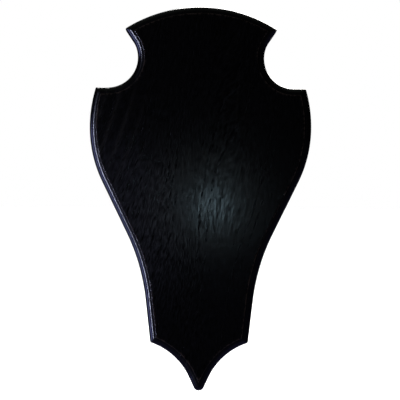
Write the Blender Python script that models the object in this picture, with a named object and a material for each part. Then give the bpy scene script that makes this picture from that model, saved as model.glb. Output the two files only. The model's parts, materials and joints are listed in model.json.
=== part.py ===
"""A small trophy shield for a wall: one routed hardwood board with a swinging ring hanger on its back.

Units are metres, +Z is up. The wall is the plane Y = 0, the shield's front looks along -Y, and X = 0 is its
line of symmetry. Z = 0 is half way up the board.
"""

import math

import bmesh
import bpy
import numpy as np

# ---- Board ----------------------------------------------------------------------------------------------
BOARD_HEIGHT = 0.260
BOARD_THICKNESS = 0.016
STANDOFF = 0.0048  # from the wall to the board's back face
BACK_CHAMFER = 0.0005

TOP_RADIUS = 0.096
NOTCH_CENTRE = (0.0632, 0.0954)
NOTCH_RADIUS = 0.0204
HORN_LEAN = 34.0  # degrees between the horn's inner edge and the vertical
HORN_EDGE = 0.0117  # the horn's straight inner edge, longer than what is left of it at the horn's point
SHOULDER_EDGE = 0.0082  # the level edge between the notch and the shoulder's corner
BELLY_HALF_WIDTH = 0.0751
BELLY_LEVEL = 0.0485
BELLY_UPPER_RADIUS = 0.092
BELLY_LOWER_RADIUS = 0.0845
SIDE_LEAN = 25.9  # degrees between the straight part of the side and the vertical
SIDE_STRAIGHT = 0.0401
WAIST_RADIUS = 0.133
FOOT_LEAN = 6.6
FOOT_LEVEL = -0.0976
FOOT_CURVE_RADIUS = 0.0445
FOOT_CURVE_START = 18.0  # degrees below the horizontal, at the foot's corner
FOOT_CURVE_END = 65.0
TOP_SPREAD = 36.0  # degrees of the top arc on each side of the middle, past the horns
BELLY_SPREAD = 18.0  # degrees of the upper belly arc, past the shoulder's corner
FOOT_SPREAD = 3.0  # degrees by which the foot's curve runs past the foot's corner
OVERRUN = 0.002  # each stretch runs past its corner by this, and is cut where it meets the next

HORN_ROUNDING = 0.0012
SHOULDER_ROUNDING = 0.0008
FOOT_ROUNDING = 0.0015
TIP_ROUNDING = 0.0036

# ---- Moulding, routed along the whole front edge --------------------------------------------------------
ROUND_RADIUS = 0.0036
LEDGE_WIDTH = 0.0009
STEP_HEIGHT = 0.0010
ROUND_STEPS = 6
CORNER_STEPS = 5
LEAST_SPACING = 0.0002  # between the ends of a stretch and the first of its own points

# ---- Ring hanger and its screws -------------------------------------------------------------------------
CLEARANCE = 0.0003
HANGER_AXIS_LEVEL = 0.098
STRAP_WIDTH = 0.010
STRAP_THICKNESS = 0.0008
STRAP_DROP = 0.038  # from the ring's axis to the strap's lower end
STRAP_END_START = 12.0  # degrees round the strap's lower end at which its flat tip gives way to the arc
CURL_WRAP = 290.0  # degrees
WIRE_RADIUS = 0.0008
RING_HALF_WIDTH = 0.007
RING_LEG = 0.005
RING_CORNER_RADIUS = 0.002
SCREW_DROPS = (0.018, 0.032)  # from the ring's axis
SCREW_HEAD_RADIUS = 0.0028
SCREW_HEAD_HEIGHT = 0.0018
SCREW_HEAD_RIM = 0.00063  # height of the head's upright rim, under its dome
SCREW_DOME_START = 78.0  # degrees at which the dome's flat top gives way to its curve
SCREW_SHANK_RADIUS = 0.0014
SCREW_LENGTH = 0.0120
SCREW_POINT = 0.0030
SCREW_TIP_RADIUS = 0.0003
RECESS_WIDTH = 0.0008
RECESS_LENGTH = 0.0032
RECESS_DEPTH = 0.0011
HOLE_RADIUS = 0.0017
HOLE_DEPTH = 0.0118
CUT_OVERRUN = 0.001  # a cutter runs past the face it enters by this

# ---- Felt pads ------------------------------------------------------------------------------------------
PAD_RADIUS = 0.008
PAD_EDGE = 0.0004
SHOULDER_PAD = (0.060, 0.052)
FOOT_PAD = (0.022, -0.084)

BACK_Y = -STANDOFF
FRONT_Y = BACK_Y - BOARD_THICKNESS
TOP_Z = BOARD_HEIGHT / 2
CURL_INNER_RADIUS = WIRE_RADIUS + CLEARANCE
CURL_MID_RADIUS = CURL_INNER_RADIUS + STRAP_THICKNESS / 2
STRAP_MID_Y = BACK_Y + CLEARANCE + STRAP_THICKNESS / 2
STRAP_FACE_Y = BACK_Y + CLEARANCE + STRAP_THICKNESS
HANGER_AXIS_Y = STRAP_MID_Y + CURL_MID_RADIUS
WIRE_SIDES = 12
ROUND_SIDES = 32
PAD_SIDES = 48


def clear_scene():
    for old in list(bpy.data.objects):
        bpy.data.objects.remove(old)


def material(name, colour, roughness, metallic):
    made = bpy.data.materials.new(name)
    made.use_nodes = True
    shader = made.node_tree.nodes["Principled BSDF"]
    shader.inputs["Base Color"].default_value = (*colour, 1.0)
    shader.inputs["Roughness"].default_value = roughness
    shader.inputs["Metallic"].default_value = metallic
    made.diffuse_color = (*colour, 1.0)
    return made


def finished(name, mesh, finish, location=(0.0, 0.0, 0.0)):
    """The object of a bmesh, with its faces turned outwards and its curved faces shaded smooth."""
    bmesh.ops.remove_doubles(mesh, verts=mesh.verts, dist=1e-6)
    bmesh.ops.recalc_face_normals(mesh, faces=mesh.faces)
    data = bpy.data.meshes.new(name)
    mesh.to_mesh(data)
    mesh.free()
    data.shade_smooth()
    data.set_sharp_from_angle(angle=math.radians(35))
    data.materials.append(finish)
    made = bpy.data.objects.new(name, data)
    made.location = location
    bpy.context.scene.collection.objects.link(made)
    return made


def bridge(mesh, rings):
    """Quads between each ring of vertices and the next; all rings hold the same number of vertices."""
    count = len(rings[0])
    for lower, upper in zip(rings, rings[1:]):
        for i in range(count):
            j = (i + 1) % count
            corners = (lower[i], lower[j], upper[j], upper[i])
            if len(set(corners)) == 4:
                mesh.faces.new(corners)


def cutter(name, mesh):
    made = finished(name, mesh, bpy.data.materials["cutter"])
    made.hide_render = True
    made.display_type = "WIRE"
    return made


def cut(target, tool):
    modifier = target.modifiers.new(tool.name, "BOOLEAN")
    modifier.operation = "DIFFERENCE"
    modifier.solver = "EXACT"
    modifier.object = tool


# ---- The board's outline, as stretches of points with the normal that points into the wood ---------------
def arc(centre, radius, start, end, steps, hollow=False):
    """An arc from start to end, in degrees. A hollow arc has its centre outside the wood."""
    angles = np.radians(np.linspace(start, end, steps + 1))
    out = np.stack([np.cos(angles), np.sin(angles)], axis=1)
    return np.hstack([np.array(centre) + radius * out, out if hollow else -out])


def straight(start, end):
    """A straight stretch, with the wood on the right of its direction."""
    start, end = np.array(start), np.array(end)
    ahead = (end - start) / np.linalg.norm(end - start)
    inwards = np.array([ahead[1], -ahead[0]])
    return np.array([[*start, *inwards], [*end, *inwards]])


def heading(degrees):
    """The direction so many degrees round from +X, as an array."""
    return np.array([math.cos(math.radians(degrees)), math.sin(math.radians(degrees))])


def top_stretch():
    return arc((0.0, TOP_Z - TOP_RADIUS), TOP_RADIUS, 90.0 + TOP_SPREAD, 90.0 - TOP_SPREAD, 28)


def notch_stretch():
    """The horn's inner edge, the round notch and the shoulder's level edge."""
    touch = np.array(NOTCH_CENTRE) + NOTCH_RADIUS * heading(180.0 - HORN_LEAN)
    horn = touch + HORN_EDGE * heading(90.0 - HORN_LEAN)
    floor = np.array(NOTCH_CENTRE) - [0.0, NOTCH_RADIUS]
    return np.vstack(
        [
            straight(horn, touch),
            arc(NOTCH_CENTRE, NOTCH_RADIUS, 180.0 - HORN_LEAN, 270.0, 18, hollow=True),
            straight(floor, floor + [SHOULDER_EDGE + OVERRUN, 0.0]),
        ]
    )


def side_stretch():
    """The belly, the straight run below it, the waist and the straight run down to the foot."""
    upper = (BELLY_HALF_WIDTH - BELLY_UPPER_RADIUS, BELLY_LEVEL)
    lower = (BELLY_HALF_WIDTH - BELLY_LOWER_RADIUS, BELLY_LEVEL)
    run_start = np.array(lower) + BELLY_LOWER_RADIUS * heading(-SIDE_LEAN)
    run_end = run_start + SIDE_STRAIGHT * heading(-90.0 - SIDE_LEAN)
    waist = run_end + WAIST_RADIUS * heading(-SIDE_LEAN)
    waist_end = waist + WAIST_RADIUS * heading(180.0 - FOOT_LEAN)
    drop = (waist_end[1] - FOOT_LEVEL) / math.cos(math.radians(FOOT_LEAN)) + OVERRUN
    return np.vstack(
        [
            arc(upper, BELLY_UPPER_RADIUS, BELLY_SPREAD, 0.0, 8),
            arc(lower, BELLY_LOWER_RADIUS, 0.0, -SIDE_LEAN, 10),
            straight(run_start, run_end),
            arc(waist, WAIST_RADIUS, 180.0 - SIDE_LEAN, 180.0 - FOOT_LEAN, 9, hollow=True),
            straight(waist_end, waist_end + drop * heading(-90.0 - FOOT_LEAN)),
        ]
    )


def foot_stretch():
    """The hollow curve under the foot and the straight edge that runs to the tip."""
    side = side_stretch()
    run = side[-1, 1] - FOOT_LEVEL
    corner = np.array([side[-1, 0] - run * math.tan(math.radians(FOOT_LEAN)), FOOT_LEVEL])
    centre = corner - FOOT_CURVE_RADIUS * heading(90.0 + FOOT_CURVE_START)
    end = centre + FOOT_CURVE_RADIUS * heading(90.0 + FOOT_CURVE_END)
    reach = end[0] / math.cos(math.radians(FOOT_CURVE_END)) + OVERRUN
    tip = end + reach * heading(180.0 + FOOT_CURVE_END)
    angles = (90.0 + FOOT_CURVE_START - FOOT_SPREAD, 90.0 + FOOT_CURVE_END)
    return np.vstack([arc(centre, FOOT_CURVE_RADIUS, *angles, 14, hollow=True), straight(end, tip)])


def mirrored(stretch):
    """The same stretch on the left side, still clockwise."""
    return stretch[::-1] * [-1.0, 1.0, -1.0, 1.0]


def board_stretches():
    """The outline clockwise, as the front shows it, with the rounding of the corner that ends each stretch."""
    right = [notch_stretch(), side_stretch(), foot_stretch()]
    left = [mirrored(s) for s in reversed(right)]
    roundings = (HORN_ROUNDING, SHOULDER_ROUNDING, FOOT_ROUNDING)
    return [top_stretch(), *right, *left], (*roundings, TIP_ROUNDING, *reversed(roundings))


def lengths_along(stretch):
    """The length from a stretch's start to each of its points."""
    return np.concatenate([[0.0], np.cumsum(np.linalg.norm(np.diff(stretch[:, :2], axis=0), axis=1))])


def read_at(stretch, lengths):
    """The points and normals at these lengths along a stretch."""
    along = lengths_along(stretch)
    return np.stack([np.interp(lengths, along, stretch[:, k]) for k in range(4)], axis=-1)


def meeting(first, second, depth):
    """The lengths along two stretches at which they cross, once both have moved this deep into the wood."""
    a = first[:, :2] + depth * first[:, 2:]
    b = second[:, :2] + depth * second[:, 2:]
    a_along, b_along = lengths_along(first), lengths_along(second)
    for i in reversed(range(len(a) - 1)):
        for j in range(len(b) - 1):
            u, v, w = a[i + 1] - a[i], b[j + 1] - b[j], b[j] - a[i]
            turn = u[0] * v[1] - u[1] * v[0]
            if turn == 0.0:
                continue
            s = (w[0] * v[1] - w[1] * v[0]) / turn
            t = (w[0] * u[1] - w[1] * u[0]) / turn
            if 0.0 <= s <= 1.0 and 0.0 <= t <= 1.0:
                return (
                    a_along[i] + s * (a_along[i + 1] - a_along[i]),
                    b_along[j] + t * (b_along[j + 1] - b_along[j]),
                )
    raise ValueError("two stretches of the outline don't meet")


def spans(depth):
    """Where each stretch starts and ends, by length along it, on the outline moved this deep."""
    stretches, roundings = board_stretches()
    meets = [
        meeting(stretches[k], stretches[(k + 1) % len(stretches)], max(depth, rounding))
        for k, rounding in enumerate(roundings)
    ]
    return [(meets[k - 1][1], meets[k][0]) for k in range(len(stretches))]


def board_ring(depth, outer_spans):
    """The outline moved this deep into the wood, with as many points at every depth."""
    stretches, roundings = board_stretches()
    here = spans(depth)
    points = []
    for k, (stretch, rounding) in enumerate(zip(stretches, roundings)):
        following = stretches[(k + 1) % len(stretches)]
        along = np.unique(np.round(lengths_along(stretch), 7))
        start, end = outer_spans[k]
        inner = along[(along > start + LEAST_SPACING) & (along < end - LEAST_SPACING)]
        shares = np.concatenate([[0.0], (inner - start) / (end - start), [1.0]])
        read = read_at(stretch, here[k][0] + shares * (here[k][1] - here[k][0]))
        points += list(read[:, :2] + depth * read[:, 2:])
        centre_depth = max(depth, rounding)
        last = read[-1]
        ahead = read_at(following, here[(k + 1) % len(stretches)][0])
        centre = last[:2] + centre_depth * last[2:]
        for share in np.linspace(0.0, 1.0, CORNER_STEPS + 1)[1:-1]:
            turned = (1.0 - share) * last[2:] + share * ahead[2:]
            turned /= np.linalg.norm(turned)
            points.append(centre - (centre_depth - depth) * turned)
    return points


def board_profile():
    """Depth into the outline and Y of each ring, from the back face round to the front face."""
    ledge_y = FRONT_Y + STEP_HEIGHT
    profile = [(BACK_CHAMFER, BACK_Y), (0.0, BACK_Y - BACK_CHAMFER)]
    for step in range(ROUND_STEPS + 1):
        angle = math.radians(90.0 * step / ROUND_STEPS)
        depth = ROUND_RADIUS * (1.0 - math.cos(angle))
        profile.append((depth, ledge_y + ROUND_RADIUS * (1.0 - math.sin(angle))))
    inner = ROUND_RADIUS + LEDGE_WIDTH
    return profile + [(inner, ledge_y), (inner, FRONT_Y)]


def make_board(finish):
    """The routed board, with two blind pilot holes in its back for the hanger's screws."""
    outer_spans = spans(0.0)
    mesh = bmesh.new()
    rings = [
        [mesh.verts.new((x, y, z)) for x, z in board_ring(depth, outer_spans)]
        for depth, y in board_profile()
    ]
    bridge(mesh, rings)
    mesh.faces.new(rings[0])
    mesh.faces.new(rings[-1])
    board = finished("shield_board", mesh, finish)
    for name, drop in zip(("upper", "lower"), SCREW_DROPS):
        hole = rod(HOLE_RADIUS, BACK_Y - HOLE_DEPTH, BACK_Y + CUT_OVERRUN, HANGER_AXIS_LEVEL - drop)
        cut(board, cutter(f"pilot_hole_{name}", hole))


# ---- Hardware -------------------------------------------------------------------------------------------
def lathe(profile, sides=ROUND_SIDES):
    """A solid turned about the Y axis from (radius, y) points, with a flat face at each end."""
    mesh = bmesh.new()
    turns = np.linspace(0.0, 2.0 * math.pi, sides, endpoint=False)
    rings = [
        [mesh.verts.new((radius * math.cos(t), y, radius * math.sin(t))) for t in turns]
        for radius, y in profile
    ]
    bridge(mesh, rings)
    mesh.faces.new(rings[0])
    mesh.faces.new(rings[-1])
    return mesh


def rod(radius, low_y, high_y, level):
    """A plain round bar along Y, at this height over the board's middle."""
    mesh = lathe([(radius, low_y), (radius, high_y)])
    bmesh.ops.translate(mesh, verts=mesh.verts, vec=(0.0, 0.0, level))
    return mesh


def strap_path():
    """The strap's middle line in (y, z) from its lower end, with its half width and its wall-side normal."""
    end_radius = STRAP_WIDTH / 2
    low = HANGER_AXIS_LEVEL - STRAP_DROP
    path = []
    for angle in np.radians(np.linspace(STRAP_END_START, 90.0, 9)):
        level = low + end_radius * (1.0 - math.cos(angle))
        path.append((STRAP_MID_Y, level, end_radius * math.sin(angle), 1.0, 0.0))
    for angle in np.radians(np.linspace(0.0, CURL_WRAP, 27)):
        y = HANGER_AXIS_Y - CURL_MID_RADIUS * math.cos(angle)
        z = HANGER_AXIS_LEVEL + CURL_MID_RADIUS * math.sin(angle)
        path.append((y, z, end_radius, math.cos(angle), -math.sin(angle)))
    return path


def make_strap(finish):
    """A steel strip with a round lower end, curled over the ring's straight side, with two screw holes."""
    mesh = bmesh.new()
    half = STRAP_THICKNESS / 2
    rings = []
    for y, z, width, normal_y, normal_z in strap_path():
        inner = (y + half * normal_y, z + half * normal_z)
        outer = (y - half * normal_y, z - half * normal_z)
        corners = [(-width, *inner), (width, *inner), (width, *outer), (-width, *outer)]
        rings.append([mesh.verts.new(corner) for corner in corners])
    bridge(mesh, rings)
    mesh.faces.new(rings[0])
    mesh.faces.new(rings[-1])
    strap = finished("hanger_strap", mesh, finish)
    for name, drop in zip(("upper", "lower"), SCREW_DROPS):
        hole = rod(HOLE_RADIUS, BACK_Y, STRAP_FACE_Y + CUT_OVERRUN, HANGER_AXIS_LEVEL - drop)
        cut(strap, cutter(f"strap_hole_{name}", hole))


def ring_path():
    """The ring's wire as (x, z, outward x, outward z) round its D, hanging below its own straight side."""
    corner, radius = RING_HALF_WIDTH - RING_CORNER_RADIUS, RING_CORNER_RADIUS
    path = []
    for x, turn in ((corner, 1.0), (-corner, -1.0)):
        for angle in np.linspace(90.0, 0.0, 6)[:: int(turn)]:
            out = heading(angle if turn > 0 else 180.0 - angle)
            path.append((x + radius * out[0], -radius + radius * out[1], *out))
        if turn > 0:
            for angle in np.linspace(0.0, -180.0, 19):
                out = heading(angle)
                path.append((RING_HALF_WIDTH * out[0], -RING_LEG + RING_HALF_WIDTH * out[1], *out))
    return path


def make_ring(finish):
    """The wire D-ring. Its origin is on the hinge's axis, the middle of its straight side."""
    mesh = bmesh.new()
    turns = np.linspace(0.0, 2.0 * math.pi, WIRE_SIDES, endpoint=False)
    rings = []
    for x, z, out_x, out_z in ring_path():
        rings.append(
            [
                mesh.verts.new(
                    (
                        x + WIRE_RADIUS * math.cos(t) * out_x,
                        WIRE_RADIUS * math.sin(t),
                        z + WIRE_RADIUS * math.cos(t) * out_z,
                    )
                )
                for t in turns
            ]
        )
    bridge(mesh, [*rings, rings[0]])
    finished("hanger_ring", mesh, finish, (0.0, HANGER_AXIS_Y, HANGER_AXIS_LEVEL))


def make_screw(name, drop, finish):
    """A pan-head wood screw with a cross recess, driven towards -Y; its origin is under the head."""
    dome = SCREW_HEAD_HEIGHT - SCREW_HEAD_RIM
    head = [
        (SCREW_HEAD_RADIUS * math.cos(angle), SCREW_HEAD_RIM + dome * math.sin(angle))
        for angle in np.radians(np.linspace(SCREW_DOME_START, 0.0, 7))
    ]
    shank = [
        (SCREW_SHANK_RADIUS, 0.0),
        (SCREW_SHANK_RADIUS, SCREW_POINT - SCREW_LENGTH),
        (SCREW_TIP_RADIUS, -SCREW_LENGTH),
    ]
    mesh = lathe([*head, (SCREW_HEAD_RADIUS, 0.0), *shank])
    place = (0.0, STRAP_FACE_Y + CLEARANCE, HANGER_AXIS_LEVEL - drop)
    screw = finished(name, mesh, finish, place)
    for axis in (0, 2):
        size = [RECESS_WIDTH, 2.0 * RECESS_DEPTH, RECESS_WIDTH]
        size[axis] = RECESS_LENGTH
        bar = bmesh.new()
        bmesh.ops.create_cube(bar, size=1.0)
        bmesh.ops.scale(bar, vec=size, verts=bar.verts)
        top = (place[0], place[1] + SCREW_HEAD_HEIGHT, place[2])
        bmesh.ops.translate(bar, vec=top, verts=bar.verts)
        cut(screw, cutter(f"{name}_recess_{axis}", bar))


def make_pad(name, centre, finish):
    """A round felt pad, whose face is in the wall's plane."""
    low = BACK_Y + CLEARANCE
    profile = [(PAD_RADIUS, low), (PAD_RADIUS, -PAD_EDGE), (PAD_RADIUS - PAD_EDGE, 0.0)]
    finished(name, lathe(profile, PAD_SIDES), finish, (centre[0], 0.0, centre[1]))


def main():
    clear_scene()
    material("cutter", (0.8, 0.3, 0.3), 0.5, 0.0)
    make_board(material("black_oak", (0.006, 0.006, 0.007), 0.4, 0.0))
    steel = material("zinc_plated_steel", (0.62, 0.63, 0.65), 0.35, 1.0)
    felt = material("grey_felt", (0.07, 0.07, 0.075), 0.95, 0.0)
    make_strap(steel)
    make_ring(steel)
    for name, drop in zip(("upper", "lower"), SCREW_DROPS):
        make_screw(f"hanger_screw_{name}", drop, steel)
    for place, (x, z) in (("shoulder", SHOULDER_PAD), ("foot", FOOT_PAD)):
        make_pad(f"felt_pad_{place}_left", (-x, z), felt)
        make_pad(f"felt_pad_{place}_right", (x, z), felt)


main()
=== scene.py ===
"""The looks of the black oak trophy shield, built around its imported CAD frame."""

import json
import math

import bmesh
import bpy
import numpy as np
from mathutils import Matrix, Vector, geometry, noise


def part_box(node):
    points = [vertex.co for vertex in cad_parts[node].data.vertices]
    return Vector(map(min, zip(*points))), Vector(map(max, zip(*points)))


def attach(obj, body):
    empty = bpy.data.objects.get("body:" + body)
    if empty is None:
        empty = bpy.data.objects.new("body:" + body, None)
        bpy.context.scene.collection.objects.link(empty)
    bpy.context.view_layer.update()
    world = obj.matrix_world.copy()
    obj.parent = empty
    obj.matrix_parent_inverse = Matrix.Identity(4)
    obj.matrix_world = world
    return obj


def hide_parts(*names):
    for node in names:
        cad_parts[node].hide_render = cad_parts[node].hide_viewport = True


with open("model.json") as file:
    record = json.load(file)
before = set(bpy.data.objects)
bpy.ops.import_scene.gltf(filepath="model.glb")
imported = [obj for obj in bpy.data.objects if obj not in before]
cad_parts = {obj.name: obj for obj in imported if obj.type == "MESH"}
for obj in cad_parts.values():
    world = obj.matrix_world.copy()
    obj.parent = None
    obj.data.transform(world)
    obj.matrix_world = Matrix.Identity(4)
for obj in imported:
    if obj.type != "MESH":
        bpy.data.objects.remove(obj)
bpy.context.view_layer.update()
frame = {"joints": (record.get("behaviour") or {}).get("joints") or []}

MM = 0.001
MERGE_DISTANCE = 2e-7

# ---- Places, read from the frame ---------------------------------------------------------------
board_low, board_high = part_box("shield_board")
FRONT_Y = board_low.y
BACK_Y = board_high.y
TOP_Z = board_high.z
HINGE = Vector(frame["joints"][0]["pos_m"])

# Lengths below are in metres and angles in degrees, unless a comment says otherwise.

# ---- The outline's driving dimensions, as the CAD has them -------------------------------------
TOP_RADIUS = 0.096
NOTCH_CENTRE = (0.0632, 0.0954)
NOTCH_RADIUS = 0.0204
HORN_LEAN = 34.0
HORN_EDGE = 0.0117
SHOULDER_EDGE = 0.0082
BELLY_HALF_WIDTH = 0.0751
BELLY_LEVEL = 0.0485
BELLY_UPPER_RADIUS = 0.092
BELLY_LOWER_RADIUS = 0.0845
SIDE_LEAN = 25.9
SIDE_STRAIGHT = 0.0401
WAIST_RADIUS = 0.133
FOOT_LEAN = 6.6
FOOT_LEVEL = -0.0976
FOOT_CURVE_RADIUS = 0.0445
FOOT_CURVE_START = 18.0
FOOT_CURVE_END = 65.0
OVERRUN = 0.002
ROUNDINGS = (0.0012, 0.0008, 0.0015, 0.0036)  # horn, shoulder, foot, tip

# ---- The moulding ------------------------------------------------------------------------------
ROUND_RADIUS = 0.0036
LEDGE_WIDTH = 0.0009
STEP_HEIGHT = 0.0010
ARRIS_RADIUS = 0.00018
FILLET_RADIUS = 0.00008
BACK_ROUND = 0.0005
BACK_WEAR = 0.55
ARRIS_WEARS = (0.35, 0.8, 1.0, 0.9, 0.45)  # from the ledge up to the face, 1 where rubbed most
ROUND_STEPS = 12
SMALL_ROUND_STEPS = 4
CORNER_STEPS = 8
EDGE_SPACING = 0.0012
FACE_SPACING = 0.00085
BACK_SPACING = 0.0030
FRONT_MARGIN = 0.0007  # bare of inner points, along the front's and the back's edges
BACK_MARGIN = 0.0020
RELIEF_MARGIN = 0.0004  # kept flat, inside the arris


# ---- Outline: stretches of points with the normal that points into the wood --------------------
def heading(degrees):
    return np.array([math.cos(math.radians(degrees)), math.sin(math.radians(degrees))])


def arc(centre, radius, start, end, hollow=False):
    """An arc with a point every half degree. A hollow arc has its centre outside the wood."""
    steps = max(8, int(abs(end - start) * 2))
    angles = np.radians(np.linspace(start, end, steps + 1))
    out = np.stack([np.cos(angles), np.sin(angles)], axis=1)
    return np.hstack([np.array(centre) + radius * out, out if hollow else -out])


def straight(start, end):
    start, end = np.array(start), np.array(end)
    ahead = (end - start) / np.linalg.norm(end - start)
    inwards = [ahead[1], -ahead[0]]
    return np.array([[*start, *inwards], [*end, *inwards]])


def notch_stretch():
    touch = np.array(NOTCH_CENTRE) + NOTCH_RADIUS * heading(180.0 - HORN_LEAN)
    horn = touch + HORN_EDGE * heading(90.0 - HORN_LEAN)
    floor = np.array(NOTCH_CENTRE) - [0.0, NOTCH_RADIUS]
    return np.vstack(
        [
            straight(horn, touch),
            arc(NOTCH_CENTRE, NOTCH_RADIUS, 180.0 - HORN_LEAN, 270.0, hollow=True),
            straight(floor, floor + [SHOULDER_EDGE + OVERRUN, 0.0]),
        ]
    )


def side_stretch():
    upper = (BELLY_HALF_WIDTH - BELLY_UPPER_RADIUS, BELLY_LEVEL)
    lower = (BELLY_HALF_WIDTH - BELLY_LOWER_RADIUS, BELLY_LEVEL)
    run_start = np.array(lower) + BELLY_LOWER_RADIUS * heading(-SIDE_LEAN)
    run_end = run_start + SIDE_STRAIGHT * heading(-90.0 - SIDE_LEAN)
    waist = run_end + WAIST_RADIUS * heading(-SIDE_LEAN)
    waist_end = waist + WAIST_RADIUS * heading(180.0 - FOOT_LEAN)
    drop = (waist_end[1] - FOOT_LEVEL) / math.cos(math.radians(FOOT_LEAN)) + OVERRUN
    return np.vstack(
        [
            arc(upper, BELLY_UPPER_RADIUS, 18.0, 0.0),
            arc(lower, BELLY_LOWER_RADIUS, 0.0, -SIDE_LEAN),
            straight(run_start, run_end),
            arc(waist, WAIST_RADIUS, 180.0 - SIDE_LEAN, 180.0 - FOOT_LEAN, hollow=True),
            straight(waist_end, waist_end + drop * heading(-90.0 - FOOT_LEAN)),
        ]
    )


def foot_stretch():
    side = side_stretch()
    run = side[-1, 1] - FOOT_LEVEL
    corner = np.array([side[-1, 0] - run * math.tan(math.radians(FOOT_LEAN)), FOOT_LEVEL])
    centre = corner - FOOT_CURVE_RADIUS * heading(90.0 + FOOT_CURVE_START)
    end = centre + FOOT_CURVE_RADIUS * heading(90.0 + FOOT_CURVE_END)
    reach = end[0] / math.cos(math.radians(FOOT_CURVE_END)) + OVERRUN
    angles = (90.0 + FOOT_CURVE_START - 3.0, 90.0 + FOOT_CURVE_END)
    return np.vstack(
        [
            arc(centre, FOOT_CURVE_RADIUS, *angles, hollow=True),
            straight(end, end + reach * heading(180.0 + FOOT_CURVE_END)),
        ]
    )


def lengths_along(stretch):
    steps = np.linalg.norm(np.diff(stretch[:, :2], axis=0), axis=1)
    return np.concatenate([[0.0], np.cumsum(steps)])


def read_at(stretch, lengths):
    along = lengths_along(stretch)
    read = np.stack([np.interp(lengths, along, stretch[:, k]) for k in range(4)], axis=-1)
    read[..., 2:] /= np.linalg.norm(read[..., 2:], axis=-1, keepdims=True)
    return read


def meeting(first, second, depth):
    """The lengths along two stretches at which they cross, both moved this deep into the wood."""
    a, b = (s[:, :2] + depth * s[:, 2:] for s in (first, second))
    u, v = np.diff(a, axis=0)[:, None], np.diff(b, axis=0)[None]
    w = b[None, :-1] - a[:-1, None]
    turn = u[..., 0] * v[..., 1] - u[..., 1] * v[..., 0]
    turn[np.abs(turn) < 1e-15] = np.inf
    s = (w[..., 0] * v[..., 1] - w[..., 1] * v[..., 0]) / turn
    t = (w[..., 0] * u[..., 1] - w[..., 1] * u[..., 0]) / turn
    crossed = (s >= 0) & (s <= 1) & (t >= 0) & (t <= 1) & np.isfinite(turn)
    i, j = np.argwhere(crossed)[-1]
    along_a, along_b = lengths_along(first), lengths_along(second)
    return (
        along_a[i] + s[i, j] * (along_a[i + 1] - along_a[i]),
        along_b[j] + t[i, j] * (along_b[j + 1] - along_b[j]),
    )


class Outline:
    """The board's outline, with as many points however deep into the wood it is moved."""

    def __init__(self, spacing):
        right = [notch_stretch(), side_stretch(), foot_stretch()]
        left = [s[::-1] * [-1.0, 1.0, -1.0, 1.0] for s in reversed(right)]
        top = arc((0.0, TOP_Z - TOP_RADIUS), TOP_RADIUS, 126.0, 54.0)
        self.stretches = [top, *right, *left]
        self.roundings = (*ROUNDINGS, *reversed(ROUNDINGS[:3]))
        self.counts = [max(2, round((e - s) / spacing)) for s, e in self.spans(0.0)]

    def spans(self, depth):
        meets = [
            meeting(s, self.stretches[(k + 1) % len(self.stretches)], max(depth, self.roundings[k]))
            for k, s in enumerate(self.stretches)
        ]
        return [(meets[k - 1][1], meets[k][0]) for k in range(len(meets))]

    def ring(self, depth):
        spans = self.spans(depth)
        points = []
        for k, stretch in enumerate(self.stretches):
            follow = (k + 1) % len(self.stretches)
            read = read_at(stretch, np.linspace(*spans[k], self.counts[k] + 1))
            points.append(read[:, :2] + depth * read[:, 2:])
            centre_depth = max(depth, self.roundings[k])
            last, ahead = read[-1], read_at(self.stretches[follow], spans[follow][0])
            centre = last[:2] + centre_depth * last[2:]
            share = np.linspace(0.0, 1.0, CORNER_STEPS + 1)[1:-1, None]
            turned = (1.0 - share) * last[2:] + share * ahead[2:]
            turned /= np.linalg.norm(turned, axis=1, keepdims=True)
            points.append(centre - (centre_depth - depth) * turned)
        return np.vstack(points)


# ---- Wood grain, as numbers stored on the mesh; its lengths are in millimetres -----------------
BAND_START = 2.0
BAND_SPACING = 9.5
RING_PHASE = 0.12
RING_WIDTH = 4.9  # on the face, between two growth rings, on average
LEAN = 0.13  # the grain's lean from the vertical, as a slope
CUT_SLOPE = 0.9  # how far the rings lean as they go into the board
CUT_CURVE = 0.012
EARLY_RISE = 0.08  # shares of a ring over which its early wood starts, and then ends
EARLY_FALL_START = 0.22
EARLY_END = 0.44
EARLY_RELIEF = 0.002
SWELL_RELIEF = 0.03
CURL_RELIEF = 0.05
SWIRLS = (  # where the grain leans more: x, z, half width, half height, added slope
    (-62.0, 42.0, 34.0, 46.0, 0.34),
    (38.0, 6.0, 22.0, 46.0, 0.18),
    (34.0, -52.0, 20.0, 34.0, 0.26),
    (6.0, -34.0, 18.0, 22.0, -0.10),
)


def across_grain(x, z):
    """How far across the grain a place on the front lies."""
    u = x - LEAN * z
    for cx, cz, wide, high, slope in SWIRLS:
        u = u - slope * np.exp(-(((x - cx) / wide) ** 2)) * high * np.tanh((z - cz) / high)
    return u


def grain_of(co):
    """(across, through, along) the grain and the ring count, for vertices in metres."""
    x, y, z = (co / MM).T
    through = y - FRONT_Y / MM
    u = across_grain(x, z) + CUT_SLOPE * through + CUT_CURVE * through**2
    u = u + 0.35 * np.sin(z / 23.0 + x / 31.0) + 0.18 * np.sin(z / 9.0 - x / 17.0 + 1.3)
    rings = RING_PHASE + u / RING_WIDTH
    rings = rings + 0.55 * np.sin(u / 19.0 + 0.6) + 0.16 * np.sin(u / 6.1 + 2.2)
    return np.stack([u, through, z], axis=1), rings


def early_wood(rings):
    """1 where a ring starts, in its large pores, falling to 0 in its dense late wood."""
    part = rings - np.floor(rings)
    fall = EARLY_END - EARLY_FALL_START
    return np.clip(part / EARLY_RISE, 0, 1) * np.clip((EARLY_END - part) / fall, 0, 1)


def curl(x, z):
    """How curly the grain is at a place: strong only at the left shoulder."""
    return np.exp(-(((x + 58.0) / 19.0) ** 2) - ((z - 46.0) / 34.0) ** 2)


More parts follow.
